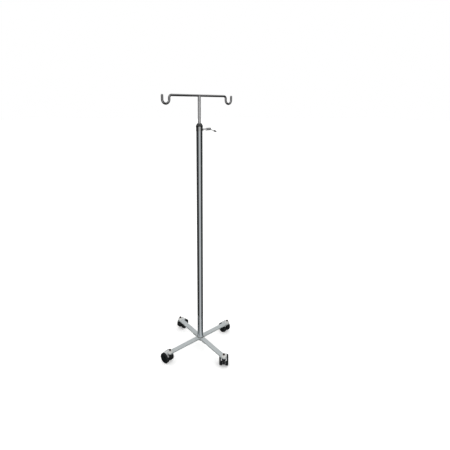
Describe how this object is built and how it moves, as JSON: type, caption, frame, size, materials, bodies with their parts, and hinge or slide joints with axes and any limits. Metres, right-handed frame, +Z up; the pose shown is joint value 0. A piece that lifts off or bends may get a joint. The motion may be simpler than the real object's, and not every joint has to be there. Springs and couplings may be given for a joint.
{
  "type": "iv drip stand",
  "caption": "Rolling drip stand with a telescopic pole, a hooked cross bar, a lever clamp and a cross base on twin-wheel casters.",
  "frame": {"origin": "on the floor, under the axis of the pole", "axes": "+Z up along the pole; the hook bar and the clamp screw lie along X, and the base's arms along X and Y"},
  "size_m": [0.3718, 0.3713, 1.1275],
  "materials": {
    "arm_steel": "satin bright steel",
    "fastener": "plated steel",
    "tube_chrome": "bright chrome plate",
    "collar_chrome": "bright chrome plate",
    "nylon": "natural nylon",
    "clamp_metal": "bright plate",
    "knob_plastic": "dark moulded plastic",
    "pad_brass": "turned brass",
    "rod_steel": "ground steel",
    "hood_metal": "bright plate",
    "yoke_nylon": "moulded black nylon",
    "axle_steel": "ground steel",
    "wheel_nylon": "black nylon",
    "tread_rubber": "black tread"
  },
  "bodies": {
    "base": {"cross_arm": "arm_steel", "front_arm": "arm_steel", "back_arm": "arm_steel", "hub_strap": "arm_steel", "caster_stems": "fastener", "stem_washers": "fastener", "stem_nuts": "fastener", "hub_bolt": "fastener", "hub_washer": "fastener", "pole_plug": "fastener", "outer_tube": "tube_chrome", "top_collar": "collar_chrome", "collar_bush": "nylon", "collar_set_screw": "fastener", "clamp_boss": "clamp_metal"},
    "rod_guide": {"guide_bush": "nylon"},
    "hook_rod": {"inner_rod": "rod_steel", "hook_bar": "rod_steel", "guide_circlip": "fastener", "rod_end_washer": "fastener", "rod_end_screw": "fastener"},
    "pad": {"pressure_pad": "pad_brass"},
    "clamp_lever": {"clamp_screw": "clamp_metal", "lever_hub": "clamp_metal", "lever_arm": "clamp_metal", "lever_knob": "knob_plastic"},
    "caster_left": {"yoke_left": "yoke_nylon", "hood_left": "hood_metal", "axle_left": "axle_steel"},
    "wheel_left_a": {"wheel_left_a": "wheel_nylon", "tyre_left_a": "tread_rubber"},
    "wheel_left_b": {"wheel_left_b": "wheel_nylon", "tyre_left_b": "tread_rubber"},
    "caster_front": {"yoke_front": "yoke_nylon", "hood_front": "hood_metal", "axle_front": "axle_steel"},
    "wheel_front_a": {"wheel_front_a": "wheel_nylon", "tyre_front_a": "tread_rubber"},
    "wheel_front_b": {"wheel_front_b": "wheel_nylon", "tyre_front_b": "tread_rubber"},
    "caster_right": {"yoke_right": "yoke_nylon", "hood_right": "hood_metal", "axle_right": "axle_steel"},
    "wheel_right_a": {"wheel_right_a": "wheel_nylon", "tyre_right_a": "tread_rubber"},
    "wheel_right_b": {"wheel_right_b": "wheel_nylon", "tyre_right_b": "tread_rubber"},
    "caster_back": {"yoke_back": "yoke_nylon", "hood_back": "hood_metal", "axle_back": "axle_steel"},
    "wheel_back_a": {"wheel_back_a": "wheel_nylon", "tyre_back_a": "tread_rubber"},
    "wheel_back_b": {"wheel_back_b": "wheel_nylon", "tyre_back_b": "tread_rubber"}
  },
  "joints": [
    {"name": "mast_slide", "type": "slide", "parent": "base", "child": "rod_guide", "axis": [0, 0, 1], "range_m": [-0.05, 0.75]},
    {"name": "mast_swivel", "type": "hinge", "parent": "rod_guide", "child": "hook_rod", "pos_m": [0, 0, 1], "axis": [0, 0, 1], "continuous": true},
    {"name": "pad_slide", "type": "slide", "parent": "base", "child": "pad", "axis": [1, 0, 0], "range_m": [0, 0.00187]},
    {"name": "clamp_turn", "type": "hinge", "parent": "pad", "child": "clamp_lever", "pos_m": [0.045, 0, 0.992], "axis": [1, 0, 0], "range_deg": [0, 540.5]},
    {"name": "swivel_left", "type": "hinge", "parent": "base", "child": "caster_left", "pos_m": [-0.163, 0, 0.0475], "axis": [0, 0, 1], "continuous": true},
    {"name": "roll_left_a", "type": "hinge", "parent": "caster_left", "child": "wheel_left_a", "pos_m": [-0.15411, 0.02108, 0.0225], "axis": [-0.9816, -0.1908, 0], "continuous": true},
    {"name": "roll_left_b", "type": "hinge", "parent": "caster_left", "child": "wheel_left_b", "pos_m": [-0.17914, 0.01622, 0.0225], "axis": [-0.9816, -0.1908, 0], "continuous": true},
    {"name": "swivel_front", "type": "hinge", "parent": "base", "child": "caster_front", "pos_m": [0, -0.163, 0.0475], "axis": [0, 0, 1], "continuous": true},
    {"name": "roll_front_a", "type": "hinge", "parent": "caster_front", "child": "wheel_front_a", "pos_m": [0.02219, -0.15741, 0.0225], "axis": [-0.7431, 0.6691, 0], "continuous": true},
    {"name": "roll_front_b", "type": "hinge", "parent": "caster_front", "child": "wheel_front_b", "pos_m": [0.00324, -0.14035, 0.0225], "axis": [-0.7431, 0.6691, 0], "continuous": true},
    {"name": "swivel_right", "type": "hinge", "parent": "base", "child": "caster_right", "pos_m": [0.163, 0, 0.0475], "axis": [0, 0, 1], "continuous": true},
    {"name": "roll_right_a", "type": "hinge", "parent": "caster_right", "child": "wheel_right_a", "pos_m": [0.17508, 0.01943, 0.0225], "axis": [-0.9994, -0.0349, 0], "continuous": true},
    {"name": "roll_right_b", "type": "hinge", "parent": "caster_right", "child": "wheel_right_b", "pos_m": [0.1496, 0.01854, 0.0225], "axis": [-0.9994, -0.0349, 0], "continuous": true},
    {"name": "swivel_back", "type": "hinge", "parent": "base", "child": "caster_back", "pos_m": [0, 0.163, 0.0475], "axis": [0, 0, 1], "continuous": true},
    {"name": "roll_back_a", "type": "hinge", "parent": "caster_back", "child": "wheel_back_a", "pos_m": [0.02212, 0.15713, 0.0225], "axis": [-0.3256, 0.9455, 0], "continuous": true},
    {"name": "roll_back_b", "type": "hinge", "parent": "caster_back", "child": "wheel_back_b", "pos_m": [0.01381, 0.18124, 0.0225], "axis": [-0.3256, 0.9455, 0], "continuous": true}
  ],
  "couplings": [
    {"joint": "clamp_turn", "follows": "pad_slide", "rad_per_m": 5026.5}
  ]
}
